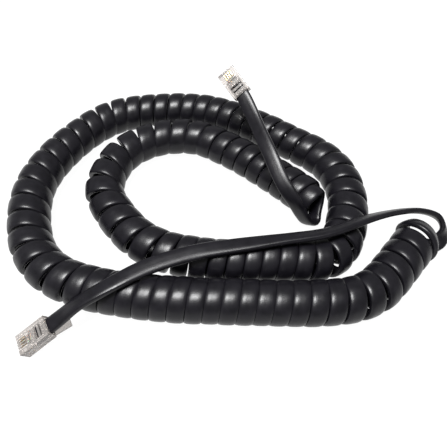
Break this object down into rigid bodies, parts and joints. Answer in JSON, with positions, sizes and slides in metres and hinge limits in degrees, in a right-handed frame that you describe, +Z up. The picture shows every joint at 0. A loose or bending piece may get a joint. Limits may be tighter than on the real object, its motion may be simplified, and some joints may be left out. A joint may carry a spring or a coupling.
{
  "type": "coiled modular lead",
  "caption": "Curly flat lead laid in nested loops, with a clear four-contact modular plug on each end, for a hand controller or handset.",
  "frame": {"origin": "under the middle of the lead's box, on the surface that the coil lies on", "axes": "+Z up, +X along the long way of the laid-down coil, +Y towards plug_b's end"},
  "size_m": [0.1795, 0.1319, 0.0431],
  "materials": {
    "cord_jacket": "satin PVC jacket",
    "plug_clear": "clear moulded polycarbonate",
    "contact_gold": "gold-plated contact blades",
    "core_black": "core insulation",
    "core_green": "core insulation",
    "core_yellow": "core insulation",
    "core_red": "core insulation"
  },
  "bodies": {
    "lead": {"coil": "cord_jacket", "tail_a": "cord_jacket", "tail_b": "cord_jacket", "plug_a_housing": "plug_clear", "plug_a_jacket_bar": "plug_clear", "plug_a_wire_bar": "plug_clear", "plug_a_jacket_end": "cord_jacket", "plug_a_contact_1": "contact_gold", "plug_a_core_1": "core_red", "plug_a_contact_2": "contact_gold", "plug_a_core_2": "core_yellow", "plug_a_contact_3": "contact_gold", "plug_a_core_3": "core_green", "plug_a_contact_4": "contact_gold", "plug_a_core_4": "core_black", "plug_b_housing": "plug_clear", "plug_b_jacket_bar": "plug_clear", "plug_b_wire_bar": "plug_clear", "plug_b_jacket_end": "cord_jacket", "plug_b_contact_1": "contact_gold", "plug_b_core_1": "core_black", "plug_b_contact_2": "contact_gold", "plug_b_core_2": "core_green", "plug_b_contact_3": "contact_gold", "plug_b_core_3": "core_yellow", "plug_b_contact_4": "contact_gold", "plug_b_core_4": "core_red"},
    "latch_a": {"plug_a_latch": "plug_clear"},
    "latch_b": {"plug_b_latch": "plug_clear"}
  },
  "joints": [
    {"name": "latch_a_press", "type": "hinge", "parent": "lead", "child": "latch_a", "pos_m": [-0.06678, -0.0611, 0.0008], "axis": [0.5, -0.866, 0], "range_deg": [0, 9], "stiffness_Nm_per_rad": 0.1},
    {"name": "latch_b_press", "type": "hinge", "parent": "lead", "child": "latch_b", "pos_m": [0.00084, 0.04118, 0.03707], "axis": [-0.7709, -0.3072, -0.558], "range_deg": [0, 9], "stiffness_Nm_per_rad": 0.1}
  ]
}
